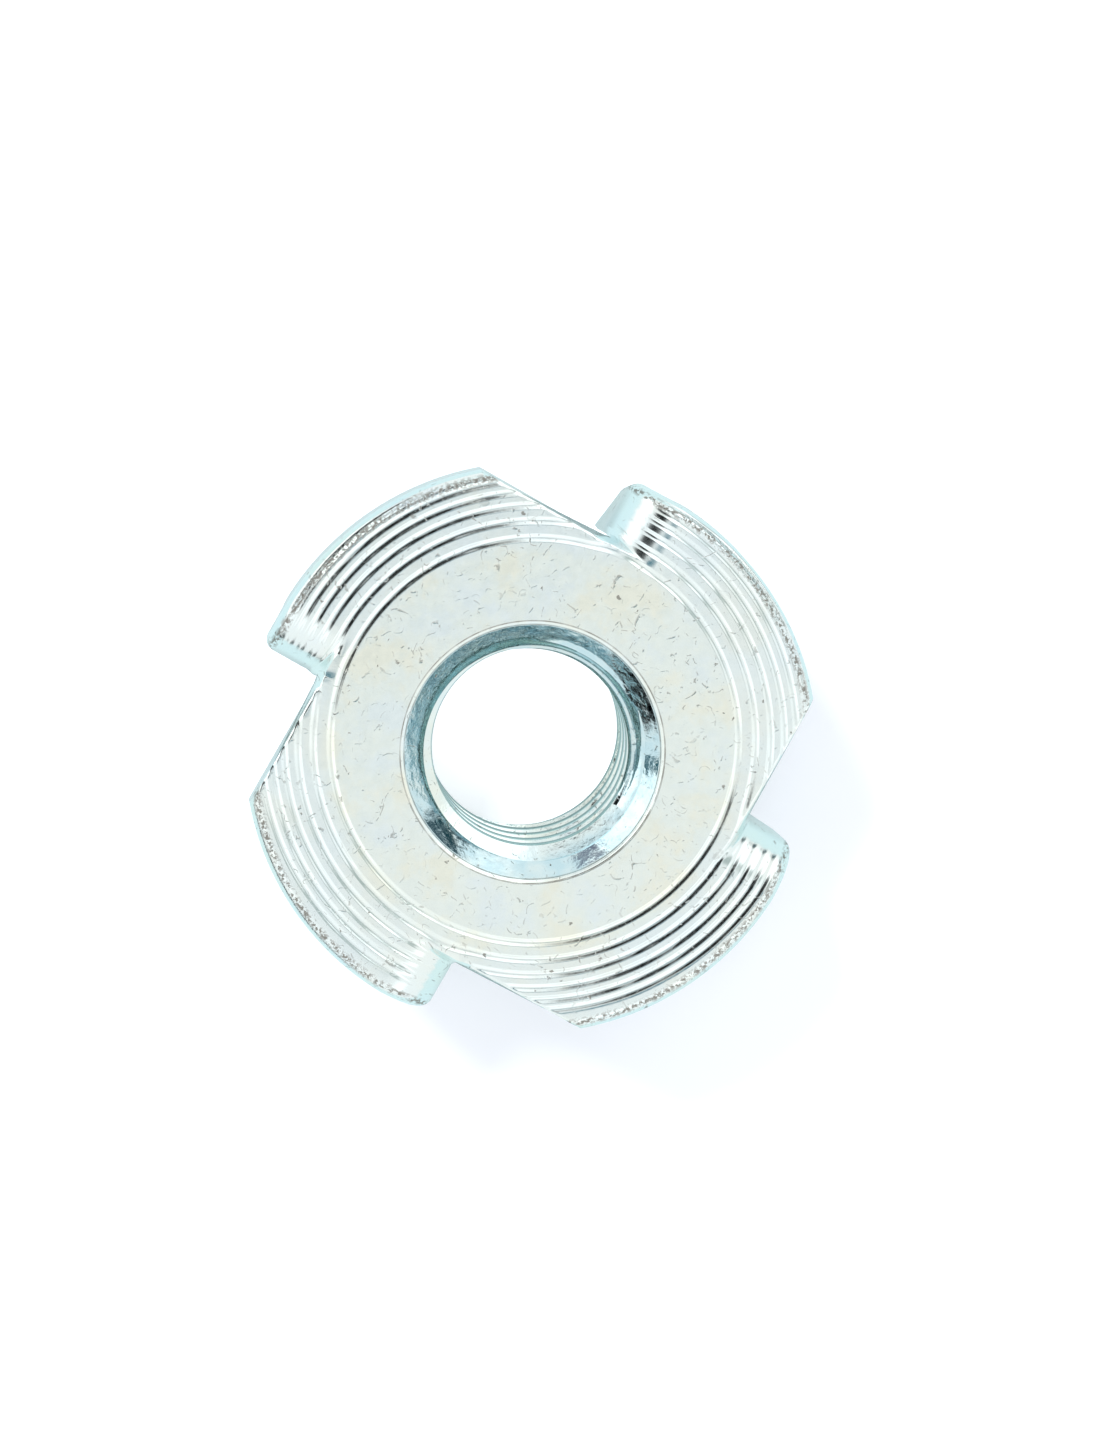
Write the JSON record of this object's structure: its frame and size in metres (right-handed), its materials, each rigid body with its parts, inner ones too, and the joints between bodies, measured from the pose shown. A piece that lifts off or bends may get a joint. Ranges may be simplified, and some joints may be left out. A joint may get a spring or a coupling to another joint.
{
  "type": "four-prong tee nut",
  "caption": "Pressed steel tee nut: a round ringed flange with prongs slit from its rim and folded down, and a short tapped barrel drawn from its middle.",
  "frame": {"origin": "on the thread's axis, in the plane of the barrel's open end, on which the nut stands", "axes": "+Z along the thread's axis, from the barrel end to the flange face; one fold line of the prongs runs 60 degrees from +X"},
  "size_m": [0.0246, 0.0246, 0.0082],
  "materials": {
    "zinc_plate": "bright zinc plate with a pale blue-green passivation, finely pitted and scuffed"
  },
  "bodies": {
    "root": {"tee_nut": "zinc_plate"}
  },
  "joints": []
}
